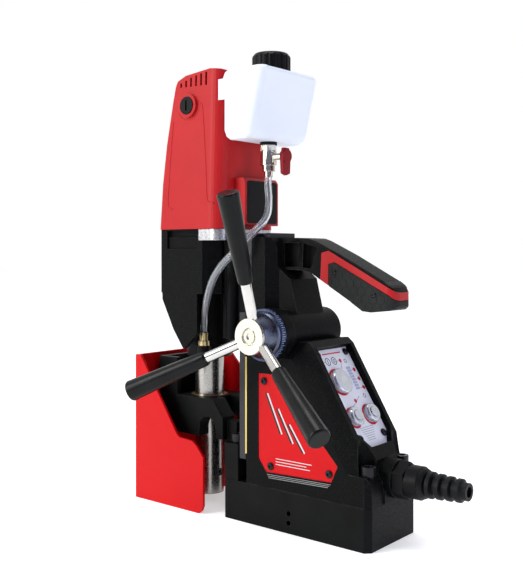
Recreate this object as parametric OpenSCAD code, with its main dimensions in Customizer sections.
// Magnetic drill press. Millimetres, +Z up. Origin: centre of the magnet's lower face.
// +X points to the control panel, -X to the arbor, -Y to the capstan side.

/* [Magnet base] */
// Length of the magnet block along X
magnet_l = 165; // [164:0.5:166]
// Width of the magnet block along Y
magnet_w = 77; // [77:0.5:79]
// Height of the magnet block
magnet_h = 38.2; // [37.6:0.1:38.6]

/* [Carriage and feed] */
// Distance of the arbor axis in front of the origin
arbor_offset = 138; // [137.5:0.1:138.5]
// Outer diameter of the arbor
arbor_d = 30; // [29:0.5:30.5]
// Diameter of the plain bore that takes a cutter shank
shank_d = 19.05; // [19:0.01:19.1]
// Depth of the shank bore
shank_depth = 50; // [40:1:52]
// Height of the arbor's lower end with the carriage down
arbor_tip = 8; // [7:0.5:10]
// Module of the feed rack and its pinion
feed_module = 1.5; // [1.5:0.1:1.5]
// Number of teeth on the feed pinion
feed_teeth = 16; // [16:1:16]

/* [Capstan] */
// Height of the capstan shaft
shaft_z = 182; // [181:0.5:183]
// Reach of each handle from the shaft axis
handle_reach = 127; // [110:1:140]
// Outward lean of the handles in degrees
handle_lean = 21; // [16:1:23]
// Angle of the first handle, from +X towards +Z, in degrees
first_handle = 86; // [80:0.5:95]

/* [Guard] */
// Height of the chip guard
guard_h = 150; // [140:1:152]
// Thickness of the guard sheet
guard_t = 3; // [2:0.5:3]

/* [Motor] */
// Height of the parting line above the gearbox flange
cap_line = 414; // [412:1:416]
// Wall of the motor casing
casing_wall = 3; // [2.5:0.1:3]

/* [Coolant] */
// Outer diameter of the hose
hose_d = 7; // [6:0.5:7]
// Wall of the tank
tank_wall = 2; // [1.5:0.1:2.5]

/* [Hidden] */
$fn = 48;
EPS = 0.01;
FIT = 0.05;
GAP = 0.1;

magnet_x = magnet_l / 2;
magnet_y = magnet_w / 2;

// Housing faces
front_x = -54;
side_y = 38.5;
column_y = 30;
column_top = 271.5;
shelf_z = 64.5;

// Feed
shaft_x = -20;
shaft_r = 8;
feed_r = feed_module * feed_teeth / 2;
rack_x = shaft_x - feed_r;
boss_r = 21.5;
bush_r = 14;
dial_y = -57;
hub_y = -65;

// Slide
slide_front = -64;
slide_back = front_x - 2.1;
slide_low = 60;
slide_top = 276;
neck_y = 12;
head_y = 20;
head_front = -46;

// Gear train
pressure_angle = 25;
addendum = 0.8;
dedendum = 1.0;
arbor_x = -arbor_offset;
motor_x = arbor_x + 10;
m1 = 1;
m2 = 1.25;
motor_teeth = 10;
wheel_teeth = 32;
pinion_teeth = 10;
arbor_teeth = 38;
a1 = m1 * (motor_teeth + wheel_teeth) / 2;
a2 = m2 * (pinion_teeth + arbor_teeth) / 2;
train_d = motor_x - arbor_x;
mid_dx = (a2 * a2 - a1 * a1 - train_d * train_d) / (2 * train_d);
mid_x = motor_x + mid_dx;
mid_y = sqrt(a1 * a1 - mid_dx * mid_dx);
angle_1 = atan2(mid_y, mid_x - motor_x);
angle_2 = atan2(-mid_y, arbor_x - mid_x);
journal_r = 12.45;
seat_r = 10;

// Gearbox
box_front = -168.5;
box_back = -96;
box_y = 42;
floor_z = 222;
box_top = 269;
nose_low = 163;
flange_top = 280.5;

// Panel plane: origin is the middle of its upper edge, local x runs down the slope
panel_x = 14.5;
panel_z = 167;
panel_tilt = 58.2;
panel_l = 98;
panel_w = 54;
panel_t = 1.5;
panel_screws_at = [[5, -22], [5, 22], [88, -18.5], [88, 20]];
magnet_button_at = [33.5, -8];
start_button_at = [68, -12];
stop_button_at = [68.5, 14];

// Handle arm
arm_y = 14;
arm_end = 93;
arm_round = 8;

// Tank and valve
tank_x0 = -81;
tank_x1 = -28;
tank_lean = 16;
tank_y = 46;
tank_z0 = 366;
tank_z1 = 433;
cap_x = -55;
valve_x = -58.5;
valve_z = 351;
tail_z = 332;

// Hose route from the valve's tail to the fitting on the coolant collar
fitting_x = -121;
fitting_y = -26.5;
fitting_z = 176;
hose_route = [
    [valve_x, 0, tail_z], [-58.5, -0.5, 322], [-56.5, -2, 312], [-53, -6.5, 303], [-49.5, -12.5, 295],
    [-47.5, -20.5, 287.5], [-48.5, -29.5, 280], [-52, -37.5, 272], [-58, -43, 263.5], [-66, -46, 255.5],
    [-75.5, -46.5, 248], [-84.5, -45.5, 240], [-92.5, -44, 231], [-99, -42, 221.5], [-104.5, -39.5, 211.5],
    [-110, -36, 201.5], [-115.5, -31.5, 192], [-119.5, -28, 183.5],
    [fitting_x, fitting_y, fitting_z]
];
hose_sides = 8;

// ---- Shared shapes ----

// Cuboid between two corners
module block(lo, hi) {
    translate(lo) cube(hi - lo);
}

// Outline in X and Z, extruded along Y from y0 to y1
module prism_y(points, y0, y1) {
    translate([0, y1, 0]) rotate([90, 0, 0]) linear_extrude(y1 - y0) polygon(points);
}

module rod_x(r, x0, x1, y, z) {
    translate([x0, y, z]) rotate([0, 90, 0]) cylinder(r = r, h = x1 - x0);
}

module rod_y(r, y0, y1, x, z) {
    translate([x, y1, z]) rotate([90, 0, 0]) cylinder(r = r, h = y1 - y0);
}

module rod_z(r, z0, z1, x, y) {
    translate([x, y, z0]) cylinder(r = r, h = z1 - z0);
}

// Flat rectangle with round corners
module round_rect(x0, x1, y0, y1, r) {
    translate([x0 + r, y0]) square([x1 - x0 - 2 * r, y1 - y0]);
    translate([x0, y0 + r]) square([x1 - x0, y1 - y0 - 2 * r]);
    for (x = [x0 + r, x1 - r], y = [y0 + r, y1 - r]) translate([x, y]) circle(r);
}

module round_box(x0, x1, y0, y1, r, z0, z1) {
    translate([0, 0, z0]) linear_extrude(z1 - z0) round_rect(x0, x1, y0, y1, r);
}

// Socket head cap screw standing on z = 0, shank downwards
module cap_screw(d, shank) {
    difference() {
        cylinder(r = 0.8 * d, h = d);
        translate([0, 0, 0.45 * d]) cylinder(r = 0.45 * d, h = d, $fn = 6);
    }
    translate([0, 0, -shank]) cylinder(r = d / 2, h = shank + EPS);
}

// Button head screw standing on z = 0, shank downwards
module button_screw(d, shank) {
    difference() {
        union() {
            cylinder(r = 0.9 * d, h = 0.25 * d);
            translate([0, 0, 0.25 * d - EPS]) cylinder(r1 = 0.9 * d, r2 = 0.55 * d, h = 0.3 * d);
        }
        translate([0, 0, 0.2 * d]) cylinder(r = 0.35 * d, h = d, $fn = 6);
    }
    translate([0, 0, -shank]) cylinder(r = d / 2, h = shank + EPS);
}

// Children placed on the panel: local z is the outward normal
module on_panel(at = [0, 0]) {
    translate([panel_x, 0, panel_z]) rotate([0, panel_tilt, 0]) translate([at[0], at[1], 0]) children();
}

// ---- Gear outline ----

function inv_deg(a) = tan(a) * 180 / PI - a;
function half_angle(r, rp, rb, hp) = hp + inv_deg(pressure_angle) - (r > rb ? inv_deg(acos(rb / r)) : 0);

// One gear's outline with tooth 0 centred on angle 0
function gear_points(n, m) =
    let (rp = n * m / 2, rb = rp * cos(pressure_angle), ro = rp + addendum * m,
         rr = rp - dedendum * m, slack = 0.06 + 0.03 * m,
         hp = 90 / n - slack / rp * 180 / PI, start = max(rb, rr + EPS),
         radii = [rr, start, (start + rp) / 2, rp, (rp + ro) / 2, ro])
    [for (k = [0 : n - 1], side = [-1, 1], i = [0 : 5])
        let (r = radii[side < 0 ? i : 5 - i],
             a = 360 * k / n + side * half_angle(r, rp, rb, hp))
        [r * cos(a), r * sin(a)]];

module gear(n, m, h, phase = 0) {
    rotate([0, 0, phase]) linear_extrude(h) polygon(gear_points(n, m));
}

// ---- Magnet base ----

pole_x = 41;
groove = [66, 58];
core = [46, 38];
groove_depth = 24;
potting_depth = 5;

module groove_ring(z0, z1) {
    for (s = [-1, 1]) difference() {
        round_box(s * pole_x - groove[0] / 2, s * pole_x + groove[0] / 2,
                  -groove[1] / 2, groove[1] / 2, 8, z0, z1);
        round_box(s * pole_x - core[0] / 2, s * pole_x + core[0] / 2,
                  -core[1] / 2, core[1] / 2, 4, z0 - 1, z1 + 1);
    }
}

module magnet_base() {
    c = 5;
    e = 1;
    color([0.07, 0.07, 0.08]) difference() {
        linear_extrude(magnet_h) polygon([
            [-magnet_x + e, -magnet_y], [magnet_x - c, -magnet_y], [magnet_x, -magnet_y + c],
            [magnet_x, magnet_y - e], [magnet_x - e, magnet_y], [-magnet_x + e, magnet_y],
            [-magnet_x, magnet_y - e], [-magnet_x, -magnet_y + e]]);
        groove_ring(-1, groove_depth);
        for (z = [10, 18.5]) rod_y(2.5, -magnet_y - 1, -magnet_y + 12, -4, z);
        for (x = [bolt_front_x, bolt_rear_x], y = [-bolt_y, bolt_y])
            rod_z(4 + FIT, magnet_h - 12, magnet_h + 1, x, y);
    }
}

module magnet_coils() {
    color([0.72, 0.36, 0.16]) groove_ring(potting_depth, groove_depth);
}

module coil_potting() {
    color([0.05, 0.05, 0.05]) groove_ring(0, potting_depth);
}

// ---- Main housing ----

bolt_front_x = -74;
bolt_rear_x = 75.5;
bolt_y = 28;
flange_ring_r = 24;
flange_ring_y = -50;
cable_z = 58.3;

lower_outline = [[front_x, magnet_h], [front_x, 160], [0, 160], [64, 58], [66, magnet_h]];
hood_outline = [[front_x, 60], [front_x, 168], [0, 175], [14, 176], [20, 171], [70.5, 86.5], [77, 76], [77, 60]];
shelf_outline = [[30, magnet_h], [magnet_x, magnet_h], [magnet_x, 58], [78, shelf_z], [30, shelf_z]];
column_outline = [[front_x, 160], [front_x, column_top], [-33.5, column_top], [-30, 262], [-29.5, 243],
                  [-15, 232], [-8, 204], [0, 160]];
plate_outline = [[-39.7, 143.9], [-20.8, 144.2], [50.3, 70], [43.4, 54.8], [-30.4, 52.4], [-39.5, 64.1]];
plate_screws_at = [[-33, 137], [-25, 58.5], [41, 62]];

module panel_outline(grow = 0) {
    y = panel_w / 2 + grow;
    polygon([[-grow, -y], [-grow, y], [panel_l - 12, y], [panel_l + grow, y - 9],
             [panel_l + grow, -y + 12], [panel_l - 14, -y]]);
}

module housing_body() {
    hull() {
        prism_y(lower_outline, -side_y, side_y);
        prism_y(hood_outline, -32.5, 32.5);
    }
    difference() {
        prism_y(shelf_outline, -side_y, side_y);
        for (s = [-1, 1]) translate([magnet_x, s * side_y, 0]) rotate([0, 0, 45])
            cube([7, 7, 200], center = true);
    }
    rod_y(boss_r, -side_y, side_y, shaft_x, shaft_z);
    rod_y(flange_ring_r, flange_ring_y, -side_y, shaft_x, shaft_z);
    // Upper column with bevelled rear corners
    intersection() {
        prism_y(column_outline, -column_y, column_y);
        translate([0, 0, 150]) linear_extrude(140) polygon([
            [front_x, -column_y], [-39, -column_y], [-28, -21], [1, -21], [1, 21],
            [-28, 21], [-39, column_y], [front_x, column_y]]);
    }
    // Cable boss
    rod_x(17, 60, 90, 0, cable_z);
    block([60, -15, magnet_h], [84, 15, 62]);
}

module main_housing() {
    color([0.09, 0.09, 0.1]) difference() {
        housing_body();
        // Slide channel: narrow mouth, wide inside
        block([front_x - 1, -neck_y - 0.5, 0], [head_front, neck_y + 0.5, 300]);
        block([head_front - 0.3, -head_y - 0.4, 0], [-38, head_y + 0.4, 300]);
        block([-39, -9, 0], [-29.4, 9, 300]);
        // Pinion chamber and shaft bore
        rod_y(15, -21, 21, shaft_x, shaft_z);
        rod_y(bush_r, -60, 60, shaft_x, shaft_z);
        // Electronics chamber under the panel
        prism_y([[-1, 50], [-1, 148], [10, 156], [58, 77], [58, 50]], -27, 27);
        on_panel([0, 0]) translate([4, -22, -20]) cube([84, 44, 22]);
        // Recess for the panel
        on_panel() translate([0, 0, -panel_t]) linear_extrude(20) panel_outline(0.3);
        // Recesses for the side plates
        for (s = [-1, 1]) prism_y(plate_outline, s * side_y - 2, s * side_y + 2);
        for (p = plate_screws_at, s = [-1, 1])
            rod_y(2 + FIT, s > 0 ? side_y - 9 : -side_y, s > 0 ? side_y : -side_y + 9, p[0], p[1]);
        for (p = panel_screws_at) on_panel(p) translate([0, 0, -8]) cylinder(r = 2 + FIT, h = 10);
        // Pockets for the rear bolts
        for (y = [-bolt_y, bolt_y]) {
            rod_z(10, shelf_z, 100, bolt_rear_x + 1, y);
            rod_z(4 + FIT, 0, 100, bolt_rear_x, y);
        }
        rod_x(6, 50, 92, 0, cable_z);
    }
}

// ---- Foot block, bolts and arbor bracket ----

foot_top = 73;

module foot_block() {
    color([0.06, 0.06, 0.07]) difference() {
        block([-magnet_x, -side_y, magnet_h], [-65, side_y, foot_top]);
        for (y = [-bolt_y, bolt_y]) rod_z(4 + FIT, 0, 100, bolt_front_x, y);
    }
}

module base_bolts() {
    color([0.12, 0.12, 0.13]) for (y = [-bolt_y, bolt_y]) {
        translate([bolt_front_x, y, foot_top]) cap_screw(8, foot_top - magnet_h + 11);
        translate([bolt_rear_x, y, shelf_z]) cap_screw(8, shelf_z - magnet_h + 11);
    }
}

bracket_y = 27;
bracket_top = 110;
bracket_low = 71;
bracket_bush_z = 92;
bracket_bush_r = 19;

module arbor_bracket() {
    color([0.05, 0.05, 0.06]) difference() {
        union() {
            prism_y([[-160, bracket_low], [-160, bracket_top], [-108, bracket_top], [-95, 93],
                     [-95, bracket_low]], -bracket_y, bracket_y);
            block([-100, -20, 44], [-magnet_x, 20, 90]);
        }
        rod_z(bracket_bush_r, bracket_bush_z, 200, arbor_x, 0);
        rod_z(arbor_d / 2 + 2, 0, 200, arbor_x, 0);
        // Arched windows in the cheeks
        block([-127, -40, 0], [-105, 40, 81]);
        rod_y(11, -40, 40, -116, 81);
        // Slot between the cheeks
        block([-117, -9, 85], [-90, 9, 200]);
        block([-105, -21, 40], [-101, 21, 70]);
    }
}

module bracket_bush() {
    color([0.72, 0.55, 0.25]) difference() {
        rod_z(bracket_bush_r, bracket_bush_z, bracket_top, arbor_x, 0);
        rod_z(arbor_d / 2 + FIT, 0, 200, arbor_x, 0);
    }
}

// ---- Guard ----

guard_front = -198.5;
guard_y = 46;
guard_screw_z = 120;
guard_travel = 30;
carrier_top = 148;
near_outline = [[guard_front, 0], [guard_front, guard_h], [-194, guard_h], [-141, 75], [-137, 71.5],
                [-119, 70], [-113, 66], [-104, 56], [-104, 8], [-106, 3], [-110, 0]];
far_outline = [[guard_front, 0], [guard_front, guard_h], [-148, guard_h], [-100, 100], [-96, 92],
               [-96, 8], [-98, 3], [-102, 0]];

module guard() {
    color([0.8, 0.05, 0.07]) difference() {
        union() {
            prism_y(near_outline, -guard_y, -guard_y + guard_t);
            prism_y(far_outline, guard_y - guard_t, guard_y);
            block([guard_front - guard_t, -guard_y, 0], [guard_front, guard_y, guard_h]);
        }
        for (y = [-9, 9]) {
            block([-210, y - 3.2, guard_screw_z - guard_travel], [-190, y + 3.2, guard_screw_z]);
            rod_x(3.2, -210, -190, y, guard_screw_z);
            rod_x(3.2, -210, -190, y, guard_screw_z - guard_travel);
        }
    }
}

module guard_carrier() {
    color([0.05, 0.05, 0.06]) difference() {
        union() {
            block([-186, -26, bracket_low], [-160, 26, carrier_top]);
            block([guard_front + GAP, -15, 100], [-186, 15, 140]);
        }
        for (y = [-9, 9]) rod_x(3 + FIT, -210, -185, y, guard_screw_z);
        // Weight-saving pocket, open to the arbor side
        block([-180, -20, 80], [-150, 20, 200]);
    }
}

module guard_screws() {
    color([0.12, 0.12, 0.13]) for (y = [-9, 9])
        translate([guard_front - guard_t - GAP, y, guard_screw_z]) rotate([0, -90, 0]) cap_screw(6, 15);
}

// ---- Side plates and panel ----

module side_plate(s) {
    difference() {
        prism_y(plate_outline, s > 0 ? side_y - 2 : -side_y + 0.5, s > 0 ? side_y - 0.5 : -side_y + 2);
        for (p = plate_screws_at) rod_y(2 + FIT, -60, 60, p[0], p[1]);
    }
}

module side_plate_near() {
    color([0.8, 0.05, 0.07]) side_plate(-1);
}

module side_plate_far() {
    color([0.8, 0.05, 0.07]) side_plate(1);
}

module side_plate_screws() {
    color([0.1, 0.1, 0.11]) for (p = plate_screws_at, s = [-1, 1])
        translate([p[0], s * (side_y - 0.5), p[1]]) rotate([s > 0 ? -90 : 90, 0, 0]) button_screw(4, 8);
}

module control_panel() {
    color([0.9, 0.9, 0.93]) difference() {
        on_panel() translate([0, 0, -panel_t]) linear_extrude(panel_t) panel_outline();
        for (p = panel_screws_at) on_panel(p) translate([0, 0, -5]) cylinder(r = 2 + FIT, h = 10);
        on_panel(magnet_button_at) translate([0, 0, -5]) cylinder(r = 6.2, h = 10);
        for (p = [start_button_at, stop_button_at])
            on_panel(p) translate([0, 0, -5]) cylinder(r = 5.2, h = 10);
    }
}

module panel_screws() {
    color([0.1, 0.1, 0.11]) for (p = panel_screws_at) on_panel(p) button_screw(4, 8);
}

module circuit_board() {
    color([0.05, 0.3, 0.12]) on_panel() {
        difference() {
            translate([12, -20, -12]) cube([70, 40, 1.6]);
            translate([magnet_button_at[0], magnet_button_at[1], -20]) cylinder(r = 7, h = 20);
        }
        // Spacers up to the panel
        for (x = [16, 78], y = [-17, 17]) translate([x, y, -10.5]) cylinder(r = 2.5, h = 10.5 - panel_t);
    }
}

// Round push button; the skirt clears the panel by its travel
button_travel = 1.5;

module push_button(at, r, stem, dish) {
    on_panel(at) difference() {
        union() {
            translate([0, 0, button_travel + 0.3]) cylinder(r = r, h = 2.5);
            translate([0, 0, button_travel + 2.8 - EPS]) cylinder(r1 = r, r2 = r - 1, h = 1);
            translate([0, 0, -5]) cylinder(r = stem, h = 8);
        }
        if (dish > 0) translate([0, 0, button_travel + 3]) cylinder(r = dish, h = 3);
    }
    if (dish > 0) on_panel(at) translate([0, 0, button_travel + 3 - EPS]) cylinder(r = dish - 0.8, h = 1.6);
}

module magnet_button() {
    color([0.8, 0.81, 0.85]) push_button(magnet_button_at, 12, 6, 0);
}

module start_button() {
    color([0.8, 0.81, 0.85]) push_button(start_button_at, 8.8, 5, 5.6);
}

module stop_button() {
    color([0.8, 0.81, 0.85]) push_button(stop_button_at, 8.8, 5, 5.6);
}

// ---- Slide guides and shaft bushes ----

module wear_strips() {
    color([0.78, 0.62, 0.2]) for (s = [-1, 1])
        block([front_x - 2, s > 0 ? 22 : -side_y, 66], [front_x, s > 0 ? side_y : -22, 158]);
    color([0.78, 0.62, 0.2]) for (s = [-1, 1])
        block([front_x - 2, s > 0 ? 22 : -column_y, 158 + GAP], [front_x, s > 0 ? column_y : -22, 203]);
}

module shaft_bushes() {
    color([0.72, 0.55, 0.25]) difference() {
        union() {
            rod_y(bush_r, flange_ring_y, -22, shaft_x, shaft_z);
            rod_y(bush_r, 22, side_y, shaft_x, shaft_z);
        }
        rod_y(shaft_r + FIT, -60, 60, shaft_x, shaft_z);
    }
}

// ---- Carry handle ----

arm_outline = [[-26.9, 241], [-29.5, 243], [-30, 262], [-33.5, column_top], [-12, 271], [0, 270.5], [9, 267.8],
               [37, 255], [82, 232], [90, 226.5], [arm_end, 221], [arm_end, 209.5], [88, 206.5], [69, 204.3],
               [60, 205], [47.5, 212.7], [23.5, 226.5], [14, 232.3], [3, 238.5], [-6, 240.5]];
window_a = [[-27.5, 243.5], [-28, 266.5], [-8.6, 266.3], [-10.8, 243.5]];
window_b = [[-6.2, 243], [-5.2, 266], [11, 261.5], [4, 242.2]];
trim_outline = [[14.6, 232.2], [16, 257], [24, 258.8], [57, 242.1], [88, 226], [95, 221],
                [95, 214.5], [91, 217], [87.3, 220], [30.7, 248.4], [23.8, 246.6], [23.8, 227]];
pad_outline = [[24.2, 226.6], [24.2, 246.2], [30.7, 248], [87, 219.7], [91, 216.6], [95, 214.1],
               [95, 210.8], [88, 207], [69, 204.8], [60.2, 205.5], [47.7, 213.2]];
handle_screws_at = [[30, 239.5], [72.5, 220]];
inlay = 1;

// Plan of the arm with its round end
module arm_plan(grow) {
    translate([0, 0, 190]) linear_extrude(100)
        round_rect(-60, arm_end + grow, -arm_y - grow, arm_y + grow, arm_round + grow);
}

module handle_arm() {
    color([0.07, 0.07, 0.08]) difference() {
        intersection() {
            prism_y(arm_outline, -arm_y, arm_y);
            arm_plan(0);
        }
        for (w = [window_a, window_b], s = [-1, 1])
            prism_y(w, s > 0 ? 6 : -30, s > 0 ? 30 : -6);
        for (p = handle_screws_at, s = [-1, 1])
            rod_y(1.5 + FIT, s > 0 ? arm_y - 8 : -30, s > 0 ? 30 : -arm_y + 8, p[0], p[1]);
        // Room for the feed rack
        block([-41, -9, 230], [-29.4, 9, 300]);
    }
}

// Band of an outline laid round the arm's sides and end
module round_arm(points) {
    difference() {
        intersection() {
            prism_y(points, -arm_y - inlay, arm_y + inlay);
            arm_plan(inlay);
        }
        arm_plan(0);
    }
}

module handle_trim() {
    color([0.75, 0.1, 0.1]) round_arm(trim_outline);
}

module handle_pads() {
    color([0.1, 0.1, 0.11]) difference() {
        round_arm(pad_outline);
        for (p = handle_screws_at) rod_y(1.5 + FIT, -60, 60, p[0], p[1]);
    }
}

module handle_screws() {
    color([0.1, 0.1, 0.11]) for (p = handle_screws_at, s = [-1, 1])
        translate([p[0], s * (arm_y + inlay), p[1]]) rotate([s > 0 ? -90 : 90, 0, 0]) button_screw(3, 8);
}

// ---- Cable outlet ----

module gland_nut() {
    color([0.05, 0.05, 0.05]) difference() {
        union() {
            translate([90, 0, cable_z]) rotate([0, 90, 0]) cylinder(r = 17, h = 11, $fn = 6);
            rod_x(14.5, 101, 113, 0, cable_z);
        }
        rod_x(4.5, 80, 120, 0, cable_z);
    }
}

rib_pitch = 8.8;
rib_count = 5;

module bend_protector() {
    color([0.04, 0.04, 0.04]) translate([113, 0, cable_z]) rotate([0, 90, 0]) rotate_extrude() {
        translate([4.5, 0]) square([3, rib_count * rib_pitch - 1]);
        polygon([[7, 0], [14, 0], [12.5, 4], [7, 5.5]]);
        for (k = [1 : rib_count - 1]) translate([7, k * rib_pitch - 3])
            polygon([[0, 0], [5 - 0.5 * k, 1], [5 - 0.5 * k, 4.5], [0, 6]]);
    }
}

// ---- Carriage ----

module carriage_slide() {
    color([0.12, 0.12, 0.13]) {
        block([slide_front, -37.5, slide_low], [slide_back, 37.5, 200]);
        block([slide_front, -28.5, 200 - EPS], [slide_back, 28.5, slide_top]);
        block([slide_back - EPS, -neck_y, slide_low], [head_front + EPS, neck_y, slide_top]);
        block([head_front + GAP, -head_y, slide_low], [-41, head_y, slide_top]);
        block([head_front, -neck_y, slide_low], [head_front + 1, neck_y, slide_top]);
    }
}

module feed_rack() {
    p = PI * feed_module;
    tip = rack_x + addendum * feed_module;
    root = rack_x - dedendum * feed_module;
    half = p / 4 - 0.1;
    up = addendum * feed_module * tan(pressure_angle);
    down = dedendum * feed_module * tan(pressure_angle);
    first = -24;
    last = 4;
    teeth = [for (k = [first : last]) let (c = shaft_z + (k + 0.5) * p) each [
        [root, c - half - down], [tip, c - half + up], [tip, c + half - up], [root, c + half + down]]];
    color([0.45, 0.45, 0.47]) prism_y(concat(
        [[-41, shaft_z + (first - 0.2) * p], [root, shaft_z + (first - 0.2) * p]],
        teeth,
        [[root, shaft_z + (last + 1.2) * p], [-41, shaft_z + (last + 1.2) * p]]), -8, 8);
}

// Side view of the nose, whose rear edge passes in front of the hose
nose_outline = [[-165.5, floor_z + 1], [-165.5, 209], [-149.5, 179], [-135.5, 160], [-134, 160],
                [-116, 176.4], [-116, floor_z + 1]];
rim_x = -113;
rim_y = 35;

module gearbox_housing() {
    color([0.1, 0.1, 0.11]) difference() {
        union() {
            // Gear chamber with its near rear corner cut back for the hose
            difference() {
                round_box(box_front, box_back, -box_y, box_y, 3, floor_z - 6, box_top);
                translate([-109, -box_y, 200]) rotate([0, 0, -41]) cube([40, 40, 100]);
            }
            // Rim round the front of the flange
            difference() {
                round_box(box_front, rim_x + 5, -box_y, box_y, 3, box_top - 1, flange_top);
                block([rim_x, -50, box_top], [0, 50, 300]);
                block([-165, -rim_y - GAP, box_top], [0, rim_y + GAP, 300]);
            }
            // Front nose between the two cheeks
            prism_y(nose_outline, -box_y, -37);
            prism_y(nose_outline, 37, box_y);
            intersection() {
                prism_y(nose_outline, -37.5, 37.5);
                block([-170, -38, 172], [-140, 38, floor_z]);
            }
            rod_z(26, nose_low, floor_z, arbor_x, 0);
            block([-118, -9, 180], [-90, 9, floor_z]);
            // Rear block that bolts to the slide
            round_box(-100, slide_front, -24, 24, 4, 172, box_top);
            for (y = [-24, 24]) rod_z(7, 172, box_top, -84, y);
        }
        // Gear chamber
        block([-164, -22, floor_z], [-113, 38, box_top + 1]);
        rod_z(25.6, floor_z, box_top + 1, arbor_x, 0);
        rod_z(18, floor_z, box_top + 1, mid_x, mid_y);
        // Spindle bearings and arbor
        rod_z(21, nose_low - 1, 177, arbor_x, 0);
        rod_z(21, 205, floor_z + 1, arbor_x, 0);
        rod_z(16, 150, floor_z + 1, arbor_x, 0);
        // Lower bearing of the intermediate shaft
        rod_z(5 + FIT, 217, floor_z + 1, mid_x, mid_y);
        // Shallow step and deep groove on both sides
        for (s = [-1, 1]) {
            block([-158, s > 0 ? box_y - 2.5 : -50, 261], [-116, s > 0 ? 50 : -box_y + 2.5, 273]);
            block([-158, s > 0 ? rim_y + 2 : -50, 273 - EPS], [-116, s > 0 ? 50 : -rim_y - 2, 279]);
        }
    }
}

module gearbox_flange() {
    color([0.75, 0.76, 0.78]) difference() {
        union() {
            intersection() {
                round_box(-140, -84.5, -43.5, 43.5, 12, box_top, flange_top);
                block([rim_x + GAP, -50, 0], [0, 50, 300]);
            }
            block([-165 + GAP, -rim_y, box_top], [rim_x + 1, rim_y, flange_top]);
        }
        rod_z(11, box_top + 2, flange_top + 1, motor_x, 0);
        rod_z(8, box_top - 1, flange_top + 1, motor_x, 0);
        rod_z(5 + FIT, box_top - 1, box_top + 7, mid_x, mid_y);
    }
}

module spindle_bearings() {
    color([0.7, 0.71, 0.73]) difference() {
        union() {
            rod_z(20.98, 165, 177, arbor_x, 0);
            rod_z(20.98, 205, 217, arbor_x, 0);
        }
        rod_z(journal_r + FIT, 100, 300, arbor_x, 0);
    }
}

// ---- Motor ----

casing_back = -84;
rear_corner_r = 14;
front_corner_r = 6;
slice_heights = [0, 0.35, 0.65, 1];

// Outline of the casing at a height; the front face leans back in a curve
function rise(z) = (z - flange_top) / 140;
function casing_front(z) = box_front + 2.3 * rise(z) + 14.6 * rise(z) * rise(z);
function casing_side(z) = 45 - 4 * rise(z);

module casing_corner(x, y, r) {
    for (s = [-1, 1]) translate([x, s * (y - r)]) circle(r, $fn = 32);
}

module casing_slice(z, inset) {
    y = casing_side(z) - inset;
    front_r = front_corner_r - inset;
    rear_r = rear_corner_r - inset;
    translate([0, 0, z]) linear_extrude(EPS) {
        casing_corner(casing_front(z) + inset + front_r, y, front_r);
        casing_corner(casing_back - inset - rear_r, y, rear_r);
    }
}

// Casing between two heights, drawn in by an inset
module casing_form(z0, z1, inset) {
    hull() for (t = slice_heights) casing_slice(z0 + (z1 - EPS - z0) * t, inset);
}

module motor_casing() {
    color([0.78, 0.1, 0.1]) {
        difference() {
            casing_form(flange_top, cap_line, 0);
            casing_form(flange_top - 1, cap_line + 1, casing_wall);
            for (s = [-1, 1]) rod_y(9, s > 0 ? 30 : -60, s > 0 ? 60 : -30, brush_x, brush_z);
        }
        // Pad that carries the tank
        block([casing_back - EPS, -18, 385], [tank_x0, 18, 412]);
        // Brush cap collars
        for (s = [-1, 1]) difference() {
            rod_y(collar_r, s > 0 ? 37 : -44.5, s > 0 ? 44.5 : -37, brush_x, brush_z);
            rod_y(9, -60, 60, brush_x, brush_z);
        }
    }
}

cap_slots = [428.1, 430.1, 432.2, 433.6, 434.9, 435.6];
bearing_z = 414.6;

module motor_top_cap() {
    top = [[-155, cap_line - 1], [-150, cap_line - 1], [-148.5, 424], [-144, 430.5], [-133, 435], [-100, 438.3],
           [-88, 437], [-84.6, 434.6], [-82, cap_line - 1]];
    color([0.78, 0.1, 0.1]) difference() {
        union() {
            difference() {
                intersection() {
                    casing_form(cap_line, 445, 0);
                    prism_y(top, -50, 50);
                }
                intersection() {
                    casing_form(cap_line - 1, 445, casing_wall);
                    translate([0, 0, -casing_wall]) prism_y(top, -50, 50);
                }
                for (k = [0 : len(cap_slots) - 1], s = [-1, 1]) {
                    x = -140.5 + 6.9 * k;
                    block([x, s > 0 ? 30 : -50, 423.7 - 0.28 * k], [x + 2.6, s > 0 ? 50 : -30, cap_slots[k]]);
                }
            }
            // Seat of the upper bearing
            rod_z(13, bearing_z, 421, motor_x, 0);
            block([-136, -39, 418], [-120, 39, 421]);
        }
        rod_z(9, 400, 430, motor_x, 0);
        for (s = [-1, 1]) rod_y(collar_r + GAP, s > 0 ? 30 : -60, s > 0 ? 60 : -30, brush_x, brush_z);
    }
}

rear_y0 = -22;
rear_y1 = 30;

module motor_rear_cover() {
    color([0.75, 0.1, 0.1]) difference() {
        prism_y([[-84, 284], [-84, 331], [-73, 331], [-70, 327], [-70, 284]], rear_y0, rear_y1);
        block([-85, rear_y0 + 2, 286], [-72, rear_y1 - 2, 328]);
    }
}

module stator() {
    color([0.35, 0.35, 0.37]) difference() {
        rod_z(26.5, 298, 333, motor_x, 0);
        rod_z(19.5, 290, 340, motor_x, 0);
    }
}

brush_x = motor_x;
brush_z = 404;
collar_r = 12;

module carbon_brushes() {
    color([0.12, 0.12, 0.12]) for (s = [-1, 1])
        block([brush_x - 3, s > 0 ? 10.2 : -32, brush_z - 4], [brush_x + 3, s > 0 ? 32 : -10.2, brush_z + 4]);
}

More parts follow.
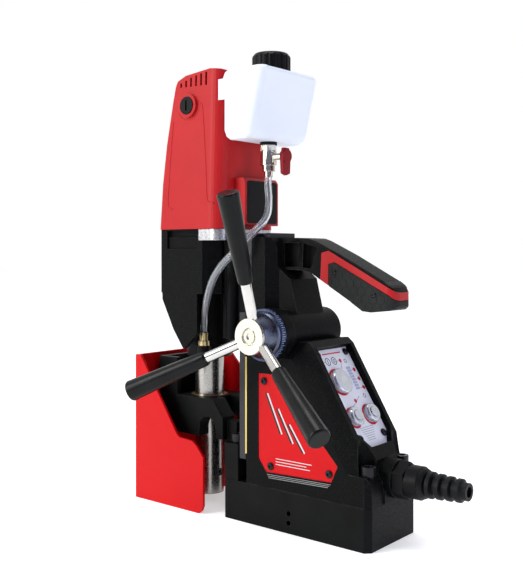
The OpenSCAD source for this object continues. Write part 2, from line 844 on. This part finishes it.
module brush_caps() {
    color([0.12, 0.14, 0.15]) for (s = [-1, 1]) difference() {
        rod_y(8.9, s > 0 ? 32 : -45.5, s > 0 ? 45.5 : -32, brush_x, brush_z);
        block([brush_x - 1, s > 0 ? 44 : -50, brush_z - 5], [brush_x + 1, s > 0 ? 50 : -44, brush_z + 5]);
    }
}

module motor_bearings() {
    color([0.7, 0.71, 0.73]) difference() {
        union() {
            rod_z(10.98, 271.5, 279.5, motor_x, 0);
            rod_z(8.98, bearing_z, 420.2, motor_x, 0);
        }
        rod_z(4 + FIT, 200, 500, motor_x, 0);
    }
}

module armature() {
    color([0.5, 0.45, 0.4]) {
        rod_z(4, 252, 420, motor_x, 0);
        rod_z(18.8, 298, 333, motor_x, 0);
        rod_z(9.8, 392, 414, motor_x, 0);
        rod_z(6, 332, 393, motor_x, 0);
        translate([motor_x, 0, 252]) gear(motor_teeth, m1, 13, angle_1);
    }
}

module cooling_fan() {
    blades = 9;
    color([0.15, 0.15, 0.16]) difference() {
        union() {
            rod_z(24, 283, 285, motor_x, 0);
            rod_z(8, 283, 295, motor_x, 0);
            for (k = [0 : blades - 1]) translate([motor_x, 0, 284]) rotate([0, 0, 360 * k / blades])
                translate([7, -0.8, 0]) cube([16.5, 1.6, 11]);
        }
        rod_z(4, 200, 500, motor_x, 0);
    }
}

module intermediate_gear() {
    color([0.5, 0.5, 0.52]) {
        rod_z(5, 217.5, box_top + 6.5, mid_x, mid_y);
        translate([mid_x, mid_y, 254]) gear(wheel_teeth, m1, 9, angle_1 + 180 + 180 / wheel_teeth);
        translate([mid_x, mid_y, 226]) gear(pinion_teeth, m2, 16, angle_2);
    }
}

// ---- Arbor ----

module arbor() {
    color([0.6, 0.6, 0.62]) difference() {
        union() {
            rod_z(arbor_d / 2, arbor_tip, nose_low + 0.5, arbor_x, 0);
            rod_z(journal_r, nose_low, 218, arbor_x, 0);
            rod_z(seat_r, 217, 246, arbor_x, 0);
        }
        rod_z(shank_d / 2, arbor_tip - 1, arbor_tip + shank_depth, arbor_x, 0);
        rod_z(4, arbor_tip, 150, arbor_x, 0);
        for (a = [-90, 0]) translate([arbor_x, 0, 30]) rotate([0, 90, a]) cylinder(r = 4 + FIT, h = 20);
    }
}

module arbor_screws() {
    color([0.12, 0.12, 0.13]) for (a = [-90, 0])
        translate([arbor_x, 0, 30]) rotate([0, 90, a]) translate([0, 0, shank_d / 2 + 0.4]) difference() {
            cylinder(r = 4, h = 4.3);
            translate([0, 0, 2]) cylinder(r = 2, h = 5, $fn = 6);
        }
}

module spindle_gear() {
    color([0.5, 0.5, 0.52]) difference() {
        translate([arbor_x, 0, 228]) gear(arbor_teeth, m2, 12, angle_2 + 180 + 180 / arbor_teeth);
        rod_z(seat_r, 200, 300, arbor_x, 0);
    }
}

module coolant_collar() {
    reach = norm([fitting_x - arbor_x, fitting_y]);
    color([0.06, 0.06, 0.07]) difference() {
        translate([arbor_x, 0, 150]) rotate([0, 0, atan2(fitting_y, fitting_x - arbor_x)]) {
            cylinder(r = 23, h = nose_low - 150);
            translate([18, -6.5, 0]) cube([reach - 18, 13, nose_low - 150]);
            translate([reach, 0, 0]) rotate([0, 0, 180]) cylinder(r = 6.5, h = nose_low - 150);
        }
        rod_z(arbor_d / 2 + FIT, 100, 300, arbor_x, 0);
    }
}

module hose_fitting() {
    color([0.75, 0.6, 0.3]) difference() {
        union() {
            rod_z(5.5, nose_low, nose_low + 5, fitting_x, fitting_y);
            rod_z(4.2, nose_low + 5 - EPS, fitting_z, fitting_x, fitting_y);
        }
        rod_z(1.5, nose_low - 1, fitting_z + 1, fitting_x, fitting_y);
    }
}

// ---- Hose: rings swept along the route ----

function unit(v) = v / norm(v);
function along(p, i) = unit(p[min(i + 1, len(p) - 1)] - p[max(i - 1, 0)]);
function flat_end(p, i, t) = i == 0 || i == len(p) - 1 ? [0, 0, -1] : t;
function ring_at(c, t, r, n) =
    let (u = unit(cross(t, [1, 0.3, 0])), v = cross(t, u))
    [for (k = [0 : n - 1]) c + r * (cos(360 * k / n) * u + sin(360 * k / n) * v)];

module swept_tube(p, r, n) {
    rings = len(p);
    points = [for (i = [0 : rings - 1]) each ring_at(p[i], flat_end(p, i, along(p, i)), r, n)];
    sides = [for (i = [0 : rings - 2], k = [0 : n - 1])
        let (a = i * n + k, b = i * n + (k + 1) % n) each [[a, b, b + n], [a, b + n, a + n]]];
    caps = [[for (k = [n - 1 : -1 : 0]) k], [for (k = [0 : n - 1]) (rings - 1) * n + k]];
    polyhedron(points, concat(sides, caps));
}

module coolant_hose() {
    color([0.8, 0.85, 0.9]) swept_tube(hose_route, hose_d / 2, hose_sides);
}

// ---- Tank and valve ----

// The rear face leans in towards the bottom
function tank_back(z) = tank_x1 - tank_lean * (tank_z1 - z) / (tank_z1 - tank_z0);

module tank_slice(z, inset) {
    r = 10 - inset;
    translate([0, 0, z]) linear_extrude(EPS)
        for (x = [tank_x0 + inset + r, tank_back(z) - inset - r],
             y = [-1, 1] * (tank_y - inset - r)) translate([x, y]) circle(r, $fn = 32);
}

// Tank body drawn in by a wall
module tank_form(wall) {
    hull() {
        tank_slice(tank_z0 + wall, 6 + wall);
        tank_slice(tank_z0 + 3 + wall / 2, 2 + wall);
        tank_slice(tank_z0 + 9, wall);
        tank_slice(tank_z1 - 3, wall);
        tank_slice(tank_z1 - EPS - wall, 3 + wall);
    }
}

module coolant_tank() {
    color([0.93, 0.95, 0.97]) difference() {
        union() {
            tank_form(0);
            rod_z(15, tank_z1 - 1, tank_z1 + 10, cap_x, 0);
            // Lips that reach past the motor casing's rear
            for (s = [-1, 1]) block([-86, s > 0 ? 42 : -44, 405], [-75, s > 0 ? 44 : -42, tank_z1 - 8]);
        }
        tank_form(tank_wall);
        rod_z(13, tank_z1 - 10, tank_z1 + 20, cap_x, 0);
        rod_z(5, tank_z0 - 5, tank_z0 + 5, valve_x, 0);
    }
}

module tank_seal() {
    color([0.03, 0.03, 0.03]) difference() {
        rod_z(8.5, tank_z0 - 3, tank_z0, valve_x, 0);
        rod_z(5, tank_z0 - 4, tank_z0 + 1, valve_x, 0);
    }
}

module tank_cap() {
    flutes = 18;
    height = 15.5;
    color([0.05, 0.05, 0.06]) difference() {
        translate([cap_x, 0, tank_z1 + 0.3]) difference() {
            union() {
                cylinder(r = 19, h = height);
                translate([0, 0, height - EPS]) cylinder(r1 = 19, r2 = 16.5, h = 3.5);
            }
            for (k = [0 : flutes - 1]) rotate([0, 0, 360 * k / flutes])
                translate([19.6, 0, 2]) cylinder(r = 1.4, h = 40);
        }
        rod_z(15.3, tank_z1, tank_z1 + 12, cap_x, 0);
    }
}

lever_x = valve_x + 19;

module valve_body() {
    color([0.75, 0.74, 0.7]) difference() {
        union() {
            rod_z(4.9, tank_z0 - 4, tank_z0 + 6, valve_x, 0);
            translate([valve_x, 0, tank_z0 - 10]) cylinder(r = 8.5, h = 7, $fn = 6);
            rod_z(8, 343, tank_z0 - 9, valve_x, 0);
            rod_z(6.5, 337, 344, valve_x, 0);
            rod_z(4.2, tail_z, 338, valve_x, 0);
            rod_x(3.2, valve_x, lever_x - 0.3, 0, valve_z);
        }
        rod_z(2, tail_z - 1, tank_z0 + 10, valve_x, 0);
    }
}

module valve_lever() {
    color([0.6, 0.05, 0.07]) {
        rod_x(6.5, lever_x, lever_x + 5, 0, valve_z);
        translate([lever_x, 0, valve_z]) rotate([0, 90, 0]) linear_extrude(4)
            polygon([[-8, -4], [-8, 4], [2, 6], [17, 5.5], [19, 0], [17, -5.5], [2, -6]]);
    }
}

// ---- Capstan ----

module pinion_shaft() {
    color([0.45, 0.45, 0.47]) {
        rod_y(shaft_r, -70, side_y, shaft_x, shaft_z);
        translate([shaft_x, 9, shaft_z]) rotate([90, 0, 0]) gear(feed_teeth, feed_module, 18, 0);
    }
}

// Children placed on each handle's axis, local z outwards
module each_handle() {
    for (k = [0 : 2]) translate([shaft_x, hub_y, shaft_z]) rotate([0, -first_handle - 120 * k, 0])
        rotate([0, 0, -handle_lean]) rotate([0, 90, 0]) children();
}

rod_r = 5;
grip_start = 52;
rod_in_grip = 28;
grip_end = handle_reach / cos(handle_lean);

module capstan_hub() {
    color([0.55, 0.56, 0.58]) difference() {
        translate([shaft_x, 0, shaft_z]) rotate([90, 0, 0]) {
            translate([0, 0, 57]) cylinder(r1 = 22, r2 = 16.5, h = 16);
            translate([0, 0, 73 - EPS]) cylinder(r = 16.5, h = 3);
        }
        rod_y(shaft_r, -70, -40, shaft_x, shaft_z);
        rod_y(4 + FIT, -80, -60, shaft_x, shaft_z);
        rod_y(7.6, -80, -72.5, shaft_x, shaft_z);
        each_handle() translate([0, 0, 10]) cylinder(r = rod_r, h = 40);
    }
}

module hub_screw() {
    color([0.8, 0.78, 0.65]) {
        translate([shaft_x, -72.5, shaft_z]) rotate([90, 0, 0]) difference() {
            cylinder(r = 6.2, h = 2.8);
            translate([0, 0, 1.2]) cylinder(r = 3.4, h = 3, $fn = 6);
        }
        rod_y(4, -72.6, -70, shaft_x, shaft_z);
    }
}

module depth_dial() {
    color([0.5, 0.55, 0.65]) difference() {
        rod_y(23.7, dial_y, flange_ring_y - 0.6, shaft_x, shaft_z);
        rod_y(shaft_r, -70, -40, shaft_x, shaft_z);
    }
}

module handle_rods() {
    color([0.8, 0.8, 0.82]) each_handle() translate([0, 0, 10])
        cylinder(r = rod_r, h = grip_start + rod_in_grip - 10);
}

module handle_grips() {
    color([0.03, 0.03, 0.035]) each_handle() rotate_extrude() polygon([
        [rod_r, grip_start], [6.3, grip_start], [7, grip_start + 2], [10, grip_end - 1.5],
        [9, grip_end], [0, grip_end], [0, grip_start + rod_in_grip], [rod_r, grip_start + rod_in_grip]]);
}

magnet_base();
magnet_coils();
coil_potting();
main_housing();
foot_block();
base_bolts();
arbor_bracket();
bracket_bush();
guard_carrier();
guard_screws();
guard();
side_plate_near();
side_plate_far();
side_plate_screws();
control_panel();
panel_screws();
circuit_board();
magnet_button();
start_button();
stop_button();
wear_strips();
shaft_bushes();
handle_arm();
handle_trim();
handle_pads();
handle_screws();
gland_nut();
bend_protector();
carriage_slide();
feed_rack();
gearbox_housing();
gearbox_flange();
motor_casing();
motor_top_cap();
motor_rear_cover();
stator();
carbon_brushes();
brush_caps();
motor_bearings();
armature();
cooling_fan();
intermediate_gear();
spindle_bearings();
arbor();
spindle_gear();
arbor_screws();
coolant_collar();
hose_fitting();
coolant_hose();
coolant_tank();
tank_seal();
tank_cap();
valve_body();
valve_lever();
pinion_shaft();
capstan_hub();
depth_dial();
hub_screw();
handle_rods();
handle_grips();
